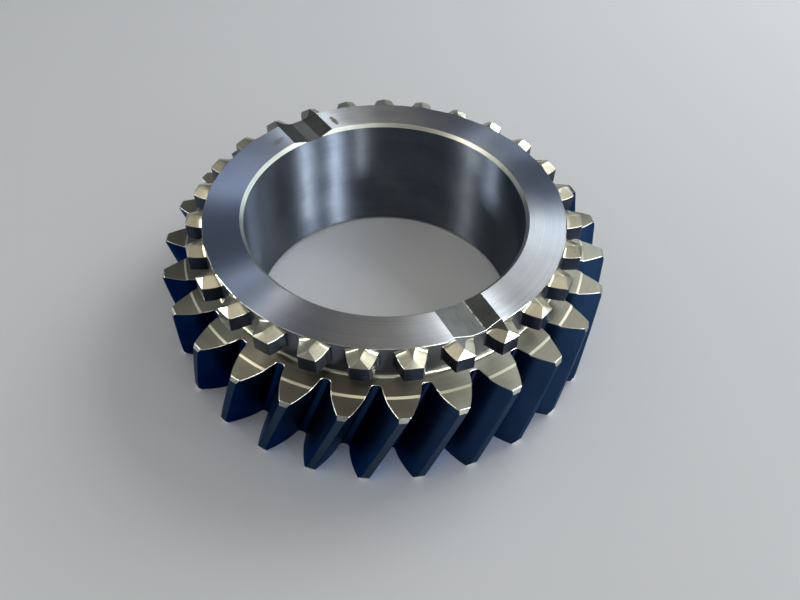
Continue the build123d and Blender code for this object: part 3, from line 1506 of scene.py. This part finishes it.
def finishes(form: HelicalForm, grooves: OilGrooves) -> tuple[Finish, ...]:
    """List the gear's finishes, one for each region.

    Args:
        form: The helical tooth, whose helix the flanks' streaks follow.
        grooves: The oil grooves, along which the milling marks run.

    Returns:
        The finishes.
    """
    turned = {"anisotropic": 0.85, "stretch": ACROSS_THE_MARKS, "spread": 0.15, "bump": 0.5}
    ground = {"anisotropic": 0.97, "stretch": ACROSS_THE_MARKS, "spread": 0.12, "bump": 0.5}
    honed = {"anisotropic": 1.0, "stretch": ACROSS_THE_MARKS}
    milled = {"contrast": 1.0, "bump": 0.4, "bearings": grooves.places}
    helix = form.twist_per_mm
    gear_face = TurnedFinish(
        Region.GEAR_FACE, (0.1, 0.093, 0.07), (0.28, 0.262, 0.208), roughness=0.43, **turned
    )
    return (
        # Painted reflection in flanks and lands: dark navy colours and blue edge colours stand in for a
        # dark blue surround.
        HelixFinish(
            Region.FLANK, (0.01, 0.026, 0.065), (0.026, 0.055, 0.12),
            roughness=0.3, edge=(0.26, 0.36, 0.54), twist=helix,
        ),
        HelixFinish(
            Region.LAND, (0.03, 0.046, 0.078), (0.08, 0.105, 0.145),
            roughness=0.33, edge=(0.35, 0.42, 0.55), twist=helix,
        ),
        Finish(Region.TIP_CHAMFER, (0.21, 0.21, 0.19), (0.4, 0.39, 0.36), roughness=0.36),
        gear_face,
        replace(gear_face, region=Region.LOWER_FACE),
        TurnedFinish(Region.FACE_STEP, (0.34, 0.32, 0.24), (0.56, 0.53, 0.41), roughness=0.3),
        Finish(Region.EDGE_BREAK, (0.16, 0.155, 0.14), (0.34, 0.33, 0.3), roughness=0.38),
        TurnedFinish(Region.NECK, (0.06, 0.07, 0.095), (0.2, 0.21, 0.24), roughness=0.3),
        Finish(Region.DOG_SIDE, (0.02, 0.028, 0.05), (0.05, 0.062, 0.092), roughness=0.3),
        Finish(Region.DOG_ROOF, (0.3, 0.275, 0.2), (0.47, 0.44, 0.34), roughness=0.3),
        HubFaceFinish(
            Region.HUB_FACE, (0.22, 0.22, 0.23), (0.5, 0.5, 0.51),
            roughness=0.45, contrast=0.9, pitch=0.17, **ground,
        ),
        # Painted reflection: the bore's dark blue colours stand in for a dark blue surround seen in its
        # wall.
        TurnedFinish(
            Region.BORE, (0.04, 0.05, 0.075), (0.17, 0.185, 0.215), roughness=0.4, **honed
        ),
        TurnedFinish(
            Region.BORE_CHAMFER, (0.14, 0.14, 0.12), (0.42, 0.42, 0.37), roughness=0.36, bump=0.6
        ),
        GrooveFinish(
            Region.GROOVE_FLOOR, (0.13, 0.135, 0.13), (0.36, 0.36, 0.34), roughness=0.4, **milled
        ),
        GrooveFinish(
            Region.GROOVE_SIDE, (0.05, 0.052, 0.05), (0.16, 0.16, 0.15), roughness=0.4, **milled
        ),
    )


# --------------------------------------------------------------------------
# The workshop
# --------------------------------------------------------------------------


@dataclass(frozen=True)
class Lamp:
    """A rectangular lamp that faces the gear.

    Its bearing runs round the gear from +X and its rise goes up from the
    floor, both in degrees. Its size and distance are in metres and its power
    in watts. A lamp for sheen only shows as a reflection and leaves matt
    surfaces as they are.
    """

    name: str
    bearing: float
    rise: float
    size: tuple[float, float]
    power: float
    colour: Colour
    sheen_only: bool = False
    distance: float = 0.85

    def hang(self) -> None:
        """Put the lamp in the scene."""
        light = bpy.data.lights.new(self.name, "AREA")
        light.shape = "RECTANGLE"
        light.size, light.size_y = self.size
        light.energy = self.power
        light.color = self.colour
        turn, lift = radians(self.bearing), radians(self.rise)
        lamp = put(self.name, light)
        toward = Vector((cos(turn) * cos(lift), sin(turn) * cos(lift), sin(lift)))
        lamp.location = self.distance * toward
        lamp.rotation_euler = toward.to_track_quat("Z", "Y").to_euler()
        lamp.visible_diffuse = not self.sheen_only
        LOG.info("lamp: %s", self.name)


@dataclass(frozen=True)
class View:
    """Where the camera stands, in tip radii of the gear, and how it is turned."""

    away: float = 2.5176
    above: float = 2.814
    yaw: float = 0.0311
    pitch: float = 0.8387
    roll: float = -0.032
    focal: float = 33.70
    sensor: float = 36.0
    nearest: float = 0.01

    def place(self, radius: float) -> None:
        """Place the camera.

        Args:
            radius: The gear's tip radius in metres.
        """
        level = cos(self.pitch)
        forward = Vector((sin(self.yaw) * level, cos(self.yaw) * level, -sin(self.pitch)))
        right = Vector((cos(self.yaw), -sin(self.yaw), 0))
        down = forward.cross(right)
        across = right * cos(self.roll) + down * sin(self.roll)
        upward = right * sin(self.roll) - down * cos(self.roll)
        camera = put("camera", bpy.data.cameras.new("camera"))
        camera.data.lens = self.focal
        camera.data.sensor_width = self.sensor
        camera.data.clip_start = self.nearest
        axes = Matrix((across, upward, -forward)).transposed()
        spot = Vector((0, -self.away * radius, self.above * radius))
        camera.matrix_world = Matrix.Translation(spot) @ axes.to_4x4()
        bpy.context.scene.camera = camera
        LOG.info("camera: %.0f mm lens", self.focal)


COOL_WHITE = (0.88, 0.96, 1.0)
LAMPS = (
    Lamp("window", 38, 41, size=(0.5, 0.4), power=2.6, colour=(0.93, 0.97, 1.0)),
    Lamp("strip_a", -21, 31, size=(0.03, 0.3), power=8.5, colour=COOL_WHITE, sheen_only=True),
    Lamp("strip_b", -47, 31, size=(0.035, 0.3), power=10.0, colour=COOL_WHITE, sheen_only=True),
    Lamp("strip_c", -70, 14, size=(0.012, 0.1), power=1.8, colour=(1.0, 1.0, 0.96), sheen_only=True),
    Lamp("ceiling", -167, 40, size=(0.07, 0.1), power=2.5, colour=(1.0, 0.96, 0.86), sheen_only=True),
    Lamp("blind", 46, 30, size=(0.05, 0.2), power=1.5, colour=(0.75, 0.9, 1.0), sheen_only=True),
    Lamp("door", 178, 16, size=(0.16, 0.1), power=3.6, colour=(0.9, 1.0, 1.0), sheen_only=True),
    Lamp("sill", -165, 9, size=(0.2, 0.08), power=1.6, colour=(0.95, 1.0, 1.0), sheen_only=True),
    Lamp("overhead", -90, 72, size=(0.4, 0.3), power=0.5, colour=(1.0, 0.95, 0.85)),
)


@dataclass(frozen=True)
class Workshop:
    """The pale floor under the gear and the dim room around it."""

    floor_half: float = 6.0
    floor_colour: Colour = (0.88, 0.88, 0.88)
    floor_roughness: float = 0.8
    room_strength: float = 0.42
    horizon: Colour = (0.42, 0.52, 0.72)
    overhead: Colour = (0.72, 0.69, 0.62)
    fade: tuple[float, float] = (0.2, 0.95)

    def floor(self) -> None:
        """Lay the floor."""
        half = self.floor_half
        corners = [(-half, -half, 0), (half, -half, 0), (half, half, 0), (-half, half, 0)]
        mesh = bpy.data.meshes.new("floor")
        mesh.from_pydata(corners, [], [(0, 1, 2, 3)])
        floor = put("floor", mesh)
        material = bpy.data.materials.new("floor")
        material.use_nodes = True
        shader = material.node_tree.nodes["Principled BSDF"]
        shader.inputs["Base Color"].default_value = rgba(self.floor_colour)
        shader.inputs["Roughness"].default_value = self.floor_roughness
        mesh.materials.append(material)
        LOG.info("floor: %.0f m wide", 2 * half)

    def room(self) -> None:
        """Fill the room with a dim light, cool at the horizon and warm overhead."""
        world = bpy.data.worlds.new("room")
        world.use_nodes = True
        nodes = Nodes(world.node_tree)
        _, _, height = nodes.split("Generated")
        background = world.node_tree.nodes["Background"]
        colour = nodes.mix(height.ramp(*self.fade), self.horizon, self.overhead)
        world.node_tree.links.new(colour, background.inputs["Color"])
        background.inputs["Strength"].default_value = self.room_strength
        bpy.context.scene.world = world


def main() -> None:
    """Build the gear, its finishes and the stage."""
    logging.basicConfig(level=logging.INFO)
    for leftover in list(bpy.data.objects):
        bpy.data.objects.remove(leftover)
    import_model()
    teeth = HelicalTeeth(
        form=HelicalForm(
            count=27, root_radius=54.0, root_fillet=1.05, tip_radius=64.245,
            corner=0.14, floor_steps=2, fillet_steps=5,
        ),
        clocking=radians(-5.35), face_height=29.25,
        step_depth=0.3, step_radius=57.45, step_width=0.65,
    )
    dogs = DogTeeth(
        form=DogForm(
            count=27, root_radius=51.2, root_fillet=0.7, tip_radius=56.1,
            corner=0.1, floor_steps=2, fillet_steps=6,
        ),
        clocking=radians(-5.94), underside=33.6, top=40.0, edge_drop=1.7,
    )
    hub = Hub(teeth, dogs, bore_radius=40.0, bore_chamfer=0.95)
    grooves = OilGrooves(hub)
    for finish in finishes(teeth.form, grooves):
        finish.build()
    skin = Skin()
    for part in (teeth, dogs, hub):
        part.lay(skin)
    piece = skin.build("gear_body")
    grooves.cut(piece)
    smooth(piece.data)
    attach(piece, "root")
    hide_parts("gear")
    shop = Workshop()
    shop.floor()
    shop.room()
    for lamp in LAMPS:
        lamp.hang()
    View().place(teeth.form.tip_radius * MM)
    bpy.context.scene.view_settings.view_transform = "Standard"


if __name__ == "__main__":
    main()
